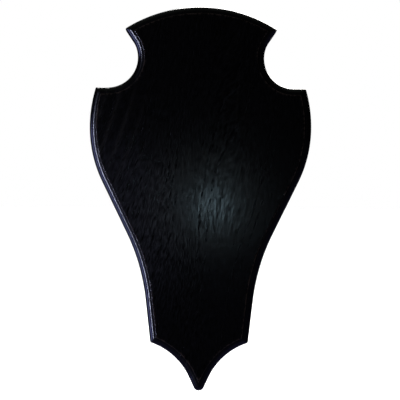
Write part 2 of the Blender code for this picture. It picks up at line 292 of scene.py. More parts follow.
def figure_and_highlight(x, z):
    """Lighter bands at the left shoulder, partly the curly figure and partly a painted highlight of
    the light from the left, and one fine lighter streak.
    """
    across = x - 0.46 * z + 0.0012 * z * z - BAND_START
    wave = 0.5 + 0.5 * np.sin(2.0 * math.pi * across / BAND_SPACING)
    streak = np.exp(-(((x - 20.7 - 0.063 * z) / 0.5) ** 2) - ((z - 68.0) / 22.0) ** 4)
    return 0.9 * curl(x, z) * wave**5 + 0.35 * streak


def store(mesh, name, kind, values):
    layer = mesh.attributes.new(name, kind, "POINT")
    field = "vector" if kind == "FLOAT_VECTOR" else "value"
    layer.data.foreach_set(field, np.ravel(values).astype(np.float32))


def join_object(name, mesh, material):
    obj = bpy.data.objects.new(name, mesh)
    mesh.materials.append(material)
    bpy.context.scene.collection.objects.link(obj)
    return obj


def smooth(mesh, angle=35.0):
    mesh.shade_smooth()
    mesh.set_sharp_from_angle(angle=math.radians(angle))


def clean(mesh, merge=True):
    """Turns every face outwards, after merging points that coincide."""
    work = bmesh.new()
    work.from_mesh(mesh)
    if merge:
        bmesh.ops.remove_doubles(work, verts=work.verts, dist=MERGE_DISTANCE)
        bmesh.ops.dissolve_degenerate(work, edges=work.edges, dist=MERGE_DISTANCE)
    bmesh.ops.recalc_face_normals(work, faces=work.faces)
    work.to_mesh(mesh)
    work.free()


def inside(points, loop):
    """Which points lie inside a closed loop."""
    a, b = loop, np.roll(loop, -1, axis=0)
    found = np.zeros(len(points), bool)
    for p, q in zip(a, b):
        if p[1] == q[1]:
            continue
        level = (points[:, 1] >= min(p[1], q[1])) & (points[:, 1] < max(p[1], q[1]))
        x = p[0] + (points[:, 1] - p[1]) * (q[0] - p[0]) / (q[1] - p[1])
        found ^= level & (points[:, 0] < x)
    return found


HOLE_TURNS = np.arange(0, 360, 15)


def filled(loop, inner_loop, spacing, holes=()):
    """Triangles that fill a loop, hexagonal inside inner_loop, with round holes left open."""
    low, high = loop.min(axis=0), loop.max(axis=0)
    rows = np.arange(low[1], high[1], spacing * math.sqrt(3) / 2)
    grid = np.array(
        [
            (x, z)
            for i, z in enumerate(rows)
            for x in np.arange(low[0] + (i % 2) * spacing / 2, high[0], spacing)
        ]
    )
    grid = grid[inside(grid, inner_loop)]
    rims = []
    for centre, radius in holes:
        grid = grid[np.linalg.norm(grid - centre, axis=1) > radius * 1.3]
        rims.append(np.array(centre) + radius * np.stack([heading(a) for a in HOLE_TURNS]))
    loops = [loop, *rims]
    points, edges = [], []
    for ring in loops:
        start = len(points)
        points += [Vector(p) for p in ring]
        edges += [(start + i, start + (i + 1) % len(ring)) for i in range(len(ring))]
    points += [Vector(p) for p in grid]
    verts, _, faces, *_ = geometry.delaunay_2d_cdt(points, edges, [], 1, 1e-9)
    verts = np.array([tuple(v) for v in verts])
    kept = []
    for face in faces:
        middle = verts[list(face)].mean(axis=0)
        if all(np.linalg.norm(middle - c) > r * 0.99 for c, r in holes):
            kept.append(tuple(face))
    return verts, kept, rims


def unrepeated(loop):
    return loop[np.linalg.norm(loop - np.roll(loop, 1, axis=0), axis=1) > 1e-7]


def quarter(points):
    """The angles of so many points round a quarter circle, in radians."""
    return np.radians(np.linspace(0.0, 90.0, points))


def moulding_profile():
    """Depth, Y and wear of each ring of the board's edge, from the back round to the arris."""
    ledge = FRONT_Y + STEP_HEIGHT
    rows = []
    for angle in quarter(SMALL_ROUND_STEPS):
        depth = BACK_ROUND * (1 - math.sin(angle))
        rows.append((depth, BACK_Y - BACK_ROUND * (1 - math.cos(angle)), BACK_WEAR))
    round_top = ledge + ROUND_RADIUS
    for share in (0.25, 0.5, 0.75):
        rows.append((0.0, BACK_Y - BACK_ROUND + share * (round_top - BACK_Y + BACK_ROUND), 0.0))
    for angle in quarter(ROUND_STEPS + 1):
        depth = ROUND_RADIUS * (1 - math.cos(angle))
        rows.append((depth, ledge + ROUND_RADIUS * (1 - math.sin(angle)), 0.0))
    inner = ROUND_RADIUS + LEDGE_WIDTH
    for angle in quarter(SMALL_ROUND_STEPS):
        depth = inner - FILLET_RADIUS * (1 - math.sin(angle))
        rows.append((depth, ledge - FILLET_RADIUS * (1 - math.cos(angle)), 0.0))
    for angle, wear in zip(quarter(len(ARRIS_WEARS)), ARRIS_WEARS):
        depth = inner + ARRIS_RADIUS * (1 - math.cos(angle))
        rows.append((depth, FRONT_Y + ARRIS_RADIUS * (1 - math.sin(angle)), wear))
    return rows


def relief(co):
    """How far the front lies under its flat plane, in metres, where soft wood is worn or curly."""
    _, rings = grain_of(co)
    x, z = co[:, 0] / MM, co[:, 2] / MM
    swell = 0.5 + 0.5 * np.sin(x / 21.0 + 1.0) * np.sin(z / 34.0 + 0.4)
    depth = EARLY_RELIEF * early_wood(rings) + SWELL_RELIEF * swell
    return MM * (depth + CURL_RELIEF * (1.0 - figure_and_highlight(x, z)) * curl(x, z))


def placed(flat, y):
    """Places in the plane of this Y, from their x and z."""
    return np.stack([flat[:, 0], np.full(len(flat), y), flat[:, 1]], axis=1)


def build_board(material_front, material_back):
    """The moulded shield, with its grain stored on it and two pilot holes in its back."""
    outline = Outline(EDGE_SPACING)
    profile = moulding_profile()
    rings = [outline.ring(depth) for depth, _, _ in profile]
    count = len(rings[0])
    co = [placed(ring, y) for ring, (_, y, _) in zip(rings, profile)]
    wear = [np.full(count, w) for _, _, w in profile]
    faces = []
    for k in range(len(rings) - 1):
        for i in range(count):
            j = (i + 1) % count
            faces.append((k * count + i, (k + 1) * count + i, (k + 1) * count + j, k * count + j))
    start = len(rings) * count

    arris_depth = profile[-1][0]
    inner_loop = outline.ring(arris_depth + FRONT_MARGIN)
    front, front_faces, _ = filled(unrepeated(rings[-1]), inner_loop, FACE_SPACING)
    front_co = placed(front, FRONT_Y)
    carved = inside(front, outline.ring(arris_depth + RELIEF_MARGIN))
    front_co[carved, 1] += relief(front_co)[carved]
    co.append(front_co)
    wear.append(np.zeros(len(front)))
    faces += [(start + a, start + b, start + c) for a, b, c in front_faces]
    start += len(front)

    holes = [((0.0, HINGE.z - drop), PILOT_RADIUS) for drop in SCREW_DROPS]
    back_start = len(faces)
    inner_loop = outline.ring(profile[0][0] + BACK_MARGIN)
    back, back_faces, rims = filled(unrepeated(rings[0]), inner_loop, BACK_SPACING, holes)
    co.append(placed(back, BACK_Y))
    wear.append(np.zeros(len(back)))
    faces += [(start + a, start + b, start + c) for a, b, c in back_faces]
    start += len(back)
    for rim, (centre, _) in zip(rims, holes):
        n = len(rim)
        floor_y = BACK_Y - PILOT_DEPTH
        co += [placed(rim, BACK_Y), placed(rim, floor_y)]
        co.append(np.array([[centre[0], floor_y - PILOT_POINT, centre[1]]]))
        wear.append(np.zeros(2 * n + 1))
        for i in range(n):
            j = (i + 1) % n
            faces.append((start + i, start + j, start + n + j, start + n + i))
            faces.append((start + n + i, start + n + j, start + 2 * n))
        start += 2 * n + 1

    mesh = bpy.data.meshes.new("board")
    mesh.from_pydata(np.vstack(co).tolist(), [], faces)
    store(mesh, "wear", "FLOAT", np.concatenate(wear))
    is_back = np.zeros(len(mesh.polygons), np.int32)
    is_back[back_start:] = 1
    mesh.polygons.foreach_set("material_index", is_back)
    clean(mesh)
    final = np.empty(len(mesh.vertices) * 3, np.float32)
    mesh.vertices.foreach_get("co", final)
    grain, counted = grain_of(final.reshape(-1, 3).astype(float))
    store(mesh, "grain", "FLOAT_VECTOR", grain)
    store(mesh, "rings", "FLOAT", counted)
    on_front = final[1::3] < BACK_Y - MM
    # The lighter-band mask: partly curly figure, partly a painted highlight of the light from the
    # left.
    store(mesh, "figure_and_highlight", "FLOAT", figure_and_highlight(final[0::3] / MM, final[2::3] / MM) * on_front)
    smooth(mesh, 30.0)
    board = join_object("board", mesh, material_front)
    mesh.materials.append(material_back)
    return board


# ---- Hardware, with the CAD's own dimensions ---------------------------------------------------
SCREW_DROPS = (0.018, 0.032)
PILOT_RADIUS = 0.0017
PILOT_DEPTH = 0.0118
PILOT_POINT = PILOT_RADIUS * 0.6
STRAP_THICKNESS = 0.0008
STRAP_HALF_WIDTH = 0.005
STRAP_DROP = 0.038
CURL_WRAP = 290.0
CURL_RADIUS = 0.0015
STRAP_ROUND = 0.00016
STRAP_CORNER = 0.0006
STRAP_SPACING = 0.0005
STRAP_FACE_SPACING = 0.00045
WIRE_RADIUS = 0.0008
RING_HALF_WIDTH = 0.007
RING_LEG = 0.005
RING_CORNER_RADIUS = 0.002
SEAM_AT = 7.0  # the point on the ring's straight side where its wire ends meet
SEAM_PINCH = 0.16
WIRE_WAVER = 0.012
HEAD_RADIUS = 0.0028
HEAD_HEIGHT = 0.0018
HEAD_RIM = 0.00063
SHANK_RADIUS = 0.0014
CORE_RADIUS = 0.00098
HEAD_UNDERSIDE_RADIUS = 0.00272
RECESS_REACH = 0.0016
RECESS_HALF_WIDTH = 0.00036
RECESS_WALL = 0.00012
RECESS_END = 0.00045
RECESS_DEPTH = 0.00105
THREAD_PITCH = 0.0012
THREAD_START = 0.0016
SHANK_LENGTH = 0.0120
POINT_LENGTH = 0.0030
PAD_RADIUS = 0.008
PAD_ROUND = 0.0004
PAD_FLUFF = 0.00022
ADHESIVE = 0.00035
ADHESIVE_INSET = 0.0002


def mesh_from(name, co, faces, material, sharp=35.0):
    mesh = bpy.data.meshes.new(name)
    mesh.from_pydata(np.asarray(co, float).tolist(), [], faces)
    clean(mesh)
    smooth(mesh, sharp)
    return join_object(name, mesh, material)


def grid_faces(rows, columns, closed_rows=False, start=0):
    """Quads over a grid of points whose rows are closed loops."""
    faces = []
    for r in range(rows if closed_rows else rows - 1):
        s = (r + 1) % rows
        for c in range(columns):
            d = (c + 1) % columns
            corners = (r * columns + c, r * columns + d, s * columns + d, s * columns + c)
            faces.append(tuple(start + corner for corner in corners))
    return faces


def close_end(co, faces, row, columns, tip):
    """Triangles from a row of points to one more point, which closes it."""
    co.append(tip)
    for c in range(columns):
        faces.append((row * columns + c, row * columns + (c + 1) % columns, len(co) - 1))


def strap_outline():
    """The flat strip's outline, clockwise: x, length along the strip, and the inward normal."""
    curl = math.radians(CURL_WRAP) * CURL_RADIUS
    top = STRAP_DROP + curl
    w, r = STRAP_HALF_WIDTH, STRAP_CORNER
    points = []
    for angle in np.linspace(180.0, 360.0, 49):
        out = heading(angle)
        points.append((w * out[0], w + w * out[1], -out[0], -out[1]))
    for length in np.arange(w + STRAP_SPACING, top - r, STRAP_SPACING):
        points.append((w, length, -1.0, 0.0))
    for cx, turn in ((w - r, 0.0), (r - w, 90.0)):
        for angle in np.linspace(turn, turn + 90.0, 5):
            out = heading(angle)
            points.append((cx + r * out[0], top - r + r * out[1], -out[0], -out[1]))
    for length in np.arange(top - r - STRAP_SPACING, w, -STRAP_SPACING):
        points.append((-w, length, 1.0, 0.0))
    return np.array(points)


def bent(flat, height):
    """Where points of the flat strip lie once it is bent, at a height above its middle."""
    x, length = flat[:, 0], flat[:, 1]
    low = HINGE.z - STRAP_DROP
    turn = np.maximum(length - STRAP_DROP, 0.0) / CURL_RADIUS
    y = HINGE.y - (CURL_RADIUS - height) * np.cos(turn)
    z = np.where(turn > 0.0, HINGE.z + (CURL_RADIUS - height) * np.sin(turn), low + length)
    return np.stack([x, y, z], axis=1)


def build_strap(material):
    """The hanger's strip, with eased edges and holes, curled over the ring's straight side."""
    outline = strap_outline()
    half = STRAP_THICKNESS / 2
    holes = [(np.array([0.0, STRAP_DROP - drop]), PILOT_RADIUS) for drop in SCREW_DROPS]
    section = [
        (STRAP_ROUND * (1 - math.sin(a)), -half + STRAP_ROUND * (1 - math.cos(a)))
        for a in quarter(SMALL_ROUND_STEPS)
    ]
    section += [(inset, -height) for inset, height in reversed(section)]
    loops = [(outline[:, :2] + inset * outline[:, 2:], height) for inset, height in section]
    co, faces, start = [], [], 0
    for flat, height in loops:
        co.append(bent(flat, np.full(len(flat), height)))
    faces += grid_faces(len(loops), len(outline))
    start += len(loops) * len(outline)
    for centre, radius in holes:
        for inset, height in section:
            rim = centre + (radius + inset) * np.stack([heading(a) for a in HOLE_TURNS])
            co.append(bent(rim, np.full(len(rim), height)))
        faces += grid_faces(len(section), len(HOLE_TURNS), start=start)
        start += len(section) * len(HOLE_TURNS)
    rims = [(centre, radius + STRAP_ROUND) for centre, radius in holes]
    inner = outline[:, :2] + 2.2 * STRAP_ROUND * outline[:, 2:]
    flat, tris, _ = filled(loops[0][0], inner, STRAP_FACE_SPACING, rims)
    for height in (-half, half):
        co.append(bent(flat, np.full(len(flat), height)))
        faces += [tuple(start + i for i in tri) for tri in tris]
        start += len(flat)
    return mesh_from("strap", np.vstack(co), faces, material)


def build_ring(material):
    """The wire D-ring, hanging from its straight side on the hinge."""
    corner, bend = RING_HALF_WIDTH - RING_CORNER_RADIUS, RING_CORNER_RADIUS
    path = [(x, 0.0, 0.0, 1.0) for x in np.linspace(-corner, corner, 16)[:-1]]
    for angle in np.linspace(90.0, 0.0, 12):
        out = heading(angle)
        path.append((corner + bend * out[0], bend * (out[1] - 1), *out))
    path += [(RING_HALF_WIDTH, z, 1.0, 0.0) for z in np.linspace(-bend, -RING_LEG, 6)[1:-1]]
    for angle in np.linspace(0.0, -180.0, 48):
        out = heading(angle)
        path.append((RING_HALF_WIDTH * out[0], -RING_LEG + RING_HALF_WIDTH * out[1], *out))
    path += [(-RING_HALF_WIDTH, z, -1.0, 0.0) for z in np.linspace(-RING_LEG, -bend, 6)[1:-1]]
    for angle in np.linspace(180.0, 90.0, 12)[:-1]:
        out = heading(angle)
        path.append((-corner + bend * out[0], bend * (out[1] - 1), *out))
    sides = np.radians(np.arange(0, 360, 15))
    co = []
    for i, (x, z, ox, oz) in enumerate(path):
        seam = 1.0 - SEAM_PINCH * math.exp(-((i - SEAM_AT) ** 2) / 0.3)
        radius = WIRE_RADIUS * seam * (1.0 - WIRE_WAVER * (1 + math.sin(i * 1.7)))
        for t in sides:
            out = radius * math.cos(t)
            co.append((x + out * ox, radius * math.sin(t), z + out * oz))
    faces = grid_faces(len(path), len(sides), closed_rows=True)
    ring = mesh_from("d_ring", co, faces, material)
    ring.location = HINGE
    return ring


def recess_depth(x, z):
    """How deep the screw's cross recess is at a place on its head. Its four wings are tapered."""
    share = 0.0
    for along, across in ((abs(x), abs(z)), (abs(z), abs(x))):
        width = RECESS_HALF_WIDTH * (1.0 - 0.35 * along / RECESS_REACH)
        wall = min(1.0, max(0.0, (width - across) / RECESS_WALL))
        end = min(1.0, max(0.0, (RECESS_REACH - along) / RECESS_END))
        share = max(share, wall * end)
    return RECESS_DEPTH * share


def level_row(radius, y, turns):
    return [(radius * math.cos(t), y, radius * math.sin(t)) for t in turns]


def build_screw(name, level, material):
    """A pan-head wood screw. Its head looks along +Y, its thread runs towards -Y."""
    columns = 72
    turns = np.radians(np.arange(columns) * 360.0 / columns)
    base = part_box(name)[1].y - HEAD_HEIGHT
    dome = HEAD_HEIGHT - HEAD_RIM
    rows = []
    for share in np.linspace(0.02, 1.0, 42):
        radius = HEAD_RADIUS * share
        row = []
        for t in turns:
            x, z = radius * math.cos(t), radius * math.sin(t)
            height = HEAD_RIM + dome * math.sqrt(max(0.0, 1.0 - (share * 0.999) ** 2)) * 0.978
            row.append((x, base + height - recess_depth(x, z), z))
        rows.append(row)
    for height in (0.0004, 0.0002, 0.00004):
        rows.append(level_row(HEAD_RADIUS, base + height, turns))
    rows.append(level_row(HEAD_UNDERSIDE_RADIUS, base, turns))
    step = THREAD_PITCH / 14
    for y in np.arange(0.0, SHANK_LENGTH + step / 2, step):
        row = []
        taper = min(1.0, max(0.03, (SHANK_LENGTH - y) / POINT_LENGTH))
        for t in turns:
            phase = (y / THREAD_PITCH - t / (2 * math.pi)) % 1.0
            crest = max(0.0, 1.0 - abs(phase - 0.5) / 0.2)
            start = min(1.0, max(0.0, (y - THREAD_START) / THREAD_PITCH))
            root = CORE_RADIUS if y > THREAD_START else SHANK_RADIUS * 0.86
            radius = (root + (SHANK_RADIUS - root) * 0.97 * crest * start) * taper
            row.append((radius * math.cos(t), base - y, radius * math.sin(t)))
        rows.append(row)
    co = [p for row in rows for p in row]
    faces = grid_faces(len(rows), columns)
    for row, y in ((0, rows[0][0][1]), (len(rows) - 1, rows[-1][0][1])):
        close_end(co, faces, row, columns, (0.0, y, 0.0))
    screw = mesh_from(name.replace("hanger_", ""), co, faces, material, 40.0)
    screw.data.transform(Matrix.Translation((0.0, 0.0, level)))
    return screw


def build_pad(name, seed, felt, adhesive):
    """A punched felt pad: a slightly fluffy disc on a thin adhesive layer."""
    low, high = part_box(name)
    cx, cz = (low.x + high.x) / 2, (low.z + high.z) / 2
    columns = 96
    turns = np.radians(np.arange(columns) * 360.0 / columns)
    rows, kinds = [], []

    def row(radius, y, kind, rough=0.0, lift=0.0):
        """Adds a row of points, pushed inwards and lowered unevenly."""
        points = []
        for t in turns:
            x, z = radius * math.cos(t), radius * math.sin(t)
            at = Vector((x / 0.0007, y / 0.0005 + seed * 7.0, z / 0.0007))
            reach = radius + rough * (noise.noise(at) - 0.8)
            drop = lift * (noise.noise(at * 0.6) - 0.7)
            points.append((cx + reach * math.cos(t), y + drop, cz + reach * math.sin(t)))
        rows.append(points)
        kinds.append(kind)

    inset = PAD_RADIUS - ADHESIVE_INSET
    edge_low, edge_high = low.y + ADHESIVE, high.y - PAD_ROUND
    for radius in np.linspace(0.0004, inset, 10):
        row(radius, low.y, 1)
    row(inset, edge_low, 1)
    for share in np.linspace(0.0, 1.0, 9):
        row(PAD_RADIUS, edge_low + share * (edge_high - edge_low), 0, PAD_FLUFF)
    for angle in np.radians((22.5, 45.0, 67.5)):
        y = high.y - PAD_ROUND * (1 - math.sin(angle))
        row(PAD_RADIUS - PAD_ROUND * (1 - math.cos(angle)), y, 0, 0.0002, 0.00004)
    for radius in np.linspace(PAD_RADIUS - PAD_ROUND, 0.0003, 22):
        row(radius, high.y, 0, 0.0, 0.0001)
    co = [p for points in rows for p in points]
    faces = grid_faces(len(rows), columns)
    kind_of = [kinds[r + 1] for r in range(len(rows) - 1) for _ in range(columns)]
    for index, points in ((0, rows[0]), (len(rows) - 1, rows[-1])):
        close_end(co, faces, index, columns, tuple(np.mean(points, axis=0)))
        kind_of += [kinds[index]] * columns
    mesh = bpy.data.meshes.new(name)
    mesh.from_pydata(np.array(co).tolist(), [], faces)
    mesh.polygons.foreach_set("material_index", np.array(kind_of, np.int32))
    clean(mesh, merge=False)
    smooth(mesh, 50.0)
    pad = join_object(name.replace("felt_", ""), mesh, felt)
    mesh.materials.append(adhesive)
    return pad


# ---- Materials ---------------------------------------------------------------------------------
class Nodes:
    """A material whose nodes are added by calls that take and return sockets."""

    def __init__(self, name):
        self.material = bpy.data.materials.new(name)
        self.material.use_nodes = True
        self.tree = self.material.node_tree
        self.shader = self.tree.nodes["Principled BSDF"]

    def put(self, socket, value):
        if isinstance(value, bpy.types.NodeSocket):
            self.tree.links.new(value, socket)
        else:
            socket.default_value = value

    def node(self, kind, inputs=(), output=0, **settings):
        made = self.tree.nodes.new(kind)
        for name, value in settings.items():
            setattr(made, name, value)
        for key, value in dict(inputs).items():
            self.put(made.inputs[key], value)
        return made.outputs[output]

    def math(self, operation, *values):
        return self.node("ShaderNodeMath", dict(enumerate(values)), operation=operation)

    def scaled(self, vector, scale):
        return self.node("ShaderNodeVectorMath", {0: vector, 1: scale}, operation="MULTIPLY")

    def sized(self, vector, *sizes):
        """The vector counted in cells of these sizes."""
        return self.scaled(vector, tuple(1 / size for size in sizes))

    def moved(self, vector, by):
        return self.node("ShaderNodeVectorMath", {0: vector, 1: by}, operation="ADD")

    def noise(self, vector, scale=1.0, detail=2.0, roughness=0.5, distortion=0.0):
        inputs = {
            "Vector": vector,
            "Scale": scale,
            "Detail": detail,
            "Roughness": roughness,
            "Distortion": distortion,
        }
        return self.node("ShaderNodeTexNoise", inputs)

    def cells(self, vector, scale=1.0, output="Distance"):
        return self.node("ShaderNodeTexVoronoi", {"Vector": vector, "Scale": scale}, output)

    def ramp(self, value, low, high, to_low=0.0, to_high=1.0):
        inputs = {0: value, 1: low, 2: high, 3: to_low, 4: to_high}
        return self.node("ShaderNodeMapRange", inputs, interpolation_type="SMOOTHSTEP")

    def attribute(self, name, output="Fac"):
        return self.node("ShaderNodeAttribute", (), output, attribute_name=name)

    def colour(self, factor, first, second):
        made = self.tree.nodes.new("ShaderNodeMix")
        made.data_type = "RGBA"
        self.put(made.inputs[0], factor)
        for socket, shade in ((made.inputs[6], first), (made.inputs[7], second)):
            linked = isinstance(shade, bpy.types.NodeSocket)
            self.put(socket, shade if linked else (*shade, 1.0))
        return made.outputs[2]

    def bump(self, height, distance, under=None, strength=1.0):
        inputs = {"Height": height, "Distance": distance, "Strength": strength}
        if under is not None:
            inputs["Normal"] = under
        return self.node("ShaderNodeBump", inputs)

    def in_millimetres(self):
        """The place on the piece itself."""
        return self.scaled(self.node("ShaderNodeTexCoord", (), "Object"), (1000.0, 1000.0, 1000.0))

    def finish(self, **inputs):
        for name, value in inputs.items():
            self.put(self.shader.inputs[name.replace("_", " ")], value)
        return self.material


SWELL_HEIGHT = 0.000015
RING_HEIGHT = 0.0000015
FIBRE_HEIGHT = 0.000022
PORE_HEIGHT = 0.000012
GRIT_HEIGHT = 0.000002
STROKE_HEIGHT = 0.000012
RING_TURN = -0.08  # with the step, which rings are strong and which are weak
RING_TURN_STEP = 1.1
FACE_DEPTH = (0.13, 0.22)  # millimetres under the face over which the moulding's polish starts
BASE_ROUGHNESS = 0.21
BASE_ANISOTROPY = 0.2
COAT_WEIGHT = 0.6  # on the face; 1 on the moulding
COAT_ROUGHNESS = 0.17
EARLY_STAIN, LATE_STAIN = (0.0024, 0.0021, 0.0016), (0.0016, 0.0014, 0.0011)
FIBRE_STAIN = (0.0030, 0.0026, 0.0020)
# Lighter band colour: partly the curly figure, partly a painted highlight of the light from the
# left.
FIGURE_AND_HIGHLIGHT_TONE = (0.0130, 0.0115, 0.0085)
PORE_STAIN = (0.0010, 0.0009, 0.0008)
RUBBED_OAK = (0.130, 0.090, 0.058)
BACK_STAINS = (0.022, 0.018, 0.015), (0.024, 0.018, 0.014)


def black_oak(name, lacquered):
    """Open-pored oak, stained black: the lacquered front and moulding, or the bare back."""
    n = Nodes(name)
    grain = n.attribute("grain", "Vector")
    wear = n.attribute("wear")
    drift = n.noise(n.scaled(grain, (0.16, 0.16, 0.05)), 1.0, 3.0)
    drift = n.math("MULTIPLY", n.math("SUBTRACT", drift, 0.5), 0.2)
    rings = n.math("ADD", n.attribute("rings"), drift)
    part = n.math("FRACT", rings)
    fall = n.ramp(part, EARLY_FALL_START, EARLY_END, 1.0, 0.0)
    early = n.math("MULTIPLY", n.ramp(part, 0.0, EARLY_RISE), fall)
    turn = n.math("MULTIPLY_ADD", n.math("FLOOR", rings), RING_TURN_STEP, RING_TURN)
    strength = n.math("MULTIPLY_ADD", n.math("SINE", turn), 0.2, 0.6)
    early = n.math("MULTIPLY", early, strength)

    # Pores: short dashes along the grain, crowded where a ring starts and thin in between.
    wander = n.math("MULTIPLY", n.noise(n.scaled(grain, (0.05, 0.05, 0.04))), 0.8)
    shifted = n.moved(grain, n.node("ShaderNodeCombineXYZ", {0: wander}))
    large_at = n.sized(shifted, 0.85, 1.6, 7.5)
    large = n.ramp(n.cells(large_at), 0.24, 0.36, 1.0, 0.0)
    drawn = n.node("ShaderNodeTexWhiteNoise", {"Vector": n.cells(large_at, 1.0, "Position")}, 0)
    crowd = n.math("MULTIPLY_ADD", early, 0.7, 0.5)
    pores = n.math("MULTIPLY", large, n.math("LESS_THAN", drawn, crowd))
    fine = n.ramp(n.cells(n.sized(shifted, 0.65, 1.2, 5.5)), 0.22, 0.36, 1.0, 0.0)
    pores = n.math("MAXIMUM", pores, n.math("MULTIPLY", fine, 0.7))

    # Fibres, a slow swell left by planing and sanding, and fine grit in the lacquer.
    fibres = n.noise(n.sized(shifted, 1.1, 1.4, 5.0), 1.0, 1.5, 0.5)
    swell = n.noise(n.sized(grain, 7.0, 7.0, 24.0))
    grit = n.noise(n.sized(grain, 0.12, 0.12, 0.12), 1.0, 1.0)

    # Stain, thinner on the fibres, lighter in the left shoulder's bands (partly figure, partly
    # painted highlight), and rubbed through along the arris.
    dark = n.colour(early, LATE_STAIN, EARLY_STAIN)
    dark = n.colour(n.math("MULTIPLY", fibres, 0.6), dark, FIBRE_STAIN)
    # Painted highlight, partly figure: the left shoulder's bands made lighter.
    dark = n.colour(n.attribute("figure_and_highlight"), dark, FIGURE_AND_HIGHLIGHT_TONE)
    dark = n.colour(n.math("MULTIPLY", pores, 0.8), dark, PORE_STAIN)
    broken = n.noise(n.sized(grain, 1.5, 1.5, 5.0), 1.0, 3.0, 0.6)
    rubbed = n.math("MULTIPLY", wear, n.ramp(broken, 0.28, 0.66, 0.4, 1.0))
    dark = n.colour(n.math("MULTIPLY", rubbed, 0.6), dark, RUBBED_OAK)

    height = n.math("MULTIPLY_ADD", pores, -1.0, 1.0)
    under = n.bump(swell, SWELL_HEIGHT)
    under = n.bump(early, RING_HEIGHT, under)
    under = n.bump(fibres, FIBRE_HEIGHT, under)
    if lacquered:
        coat = n.bump(height, PORE_HEIGHT, under)
        normal = n.bump(grit, GRIT_HEIGHT, coat)
        rough = n.math("MULTIPLY_ADD", early, 0.08, BASE_ROUGHNESS)
        rough = n.math("ADD", rough, n.math("MULTIPLY", n.math("SUBTRACT", broken, 0.5), 0.08))

        # The face's sheen breaks up in pores, streaks and rings; the moulding's is more even.
        streaks = n.noise(n.sized(shifted, 0.7, 1.2, 5.0), 1.0, 2.0, 0.6)
        streaks = n.ramp(streaks, 0.40, 0.62, 0.45, 1.5)
        gaps = n.ramp(n.noise(n.sized(shifted, 1.2, 1.5, 5.0)), 0.44, 0.58)
        broken_ring = n.math("MULTIPLY", early, gaps)
        gloss = n.math("MULTIPLY", n.math("MULTIPLY_ADD", pores, -0.8, 1.0), streaks)
        gloss = n.math("MULTIPLY", gloss, n.math("MULTIPLY_ADD", broken_ring, -0.7, 1.0))
        polish = n.ramp(n.node("ShaderNodeSeparateXYZ", {0: grain}, 1), *FACE_DEPTH)
        even = n.math("MULTIPLY", polish, 0.75)
        gloss = n.math("ADD", n.math("MULTIPLY", gloss, n.math("SUBTRACT", 1.0, even)), even)
        weight = n.math("MULTIPLY", n.math("MAXIMUM", polish, COAT_WEIGHT), gloss)
        lustre = n.math("MULTIPLY", n.math("MULTIPLY_ADD", polish, 0.06, 0.2), gloss)
        return n.finish(
            Base_Color=dark,
            Roughness=rough,
            Specular_IOR_Level=lustre,
            Anisotropic=BASE_ANISOTROPY,
            Anisotropic_Rotation=0.25,
            Tangent=n.node("ShaderNodeTangent", direction_type="RADIAL", axis="Z"),
            Coat_Weight=weight,
            Coat_Roughness=COAT_ROUGHNESS,
            Normal=normal,
            Coat_Normal=coat,
        )

    # The back shows the planer's strokes and a patchy stain.
    across_back = n.scaled(grain, (0.0, 0.0, 1 / 9.0))
    strokes = n.node("ShaderNodeTexWave", {"Vector": across_back, "Distortion": 2.5})
    bare = n.colour(n.math("MULTIPLY", strokes, 0.45), dark, BACK_STAINS[0])
    patchy = n.noise(n.sized(grain, 14.0, 14.0, 26.0), 1.0, 4.0)
    bare = n.colour(n.ramp(patchy, 0.42, 0.72, 0.0, 0.5), bare, BACK_STAINS[1])
    normal = n.bump(height, 1.6 * PORE_HEIGHT, n.bump(strokes, STROKE_HEIGHT, under))
    return n.finish(
        Base_Color=bare,
        Roughness=n.math("MULTIPLY_ADD", broken, 0.2, 0.52),
        Specular_IOR_Level=0.4,
        Normal=normal,
    )


ZINC_DULL, ZINC_BRIGHT = (0.50, 0.515, 0.54), (0.68, 0.69, 0.70)
ZINC_SCRATCH, ZINC_YELLOWED = (0.36, 0.36, 0.37), (0.62, 0.60, 0.50)
ZINC_BUMP = 0.000006
SCRATCH_BUMP = 0.000005
FELT_DARK, FELT_LIGHT = (0.035, 0.035, 0.038), (0.105, 0.105, 0.112)
FELT_LUMP = (0.055, 0.054, 0.058)
FILM_DARK, FILM_LIGHT = (0.42, 0.38, 0.28), (0.56, 0.53, 0.44)


def zinc(name, brush):
    """Zinc plating, faintly brushed along one axis, with small scratches and dull patches."""
    n = Nodes(name)
    place = n.in_millimetres()
    lines = n.noise(n.scaled(place, brush), 1.0, 3.0, 0.65)
    cloud = n.noise(n.scaled(place, (0.35, 0.35, 0.35)), 1.0, 4.0, 0.6)
    cell = n.cells(n.scaled(place, (1.6, 1.6, 1.6)))
    scratch = n.ramp(n.noise(n.scaled(place, (9.0, 9.0, 0.9)), 1.0, 4.0, 0.7), 0.62, 0.70)
    tone = n.colour(cloud, ZINC_DULL, ZINC_BRIGHT)
    tone = n.colour(n.math("MULTIPLY", scratch, 0.4), tone, ZINC_SCRATCH)
    tone = n.colour(n.ramp(cloud, 0.60, 0.78, 0.0, 0.35), tone, ZINC_YELLOWED)
    rough = n.math("MULTIPLY_ADD", cloud, 0.22, 0.20)
    rough = n.math("MULTIPLY_ADD", lines, 0.10, rough)
    normal = n.bump(lines, ZINC_BUMP, n.bump(cell, ZINC_BUMP))
    normal = n.bump(scratch, SCRATCH_BUMP, normal, 0.6)
    return n.finish(Base_Color=tone, Metallic=1.0, Roughness=rough, Normal=normal)


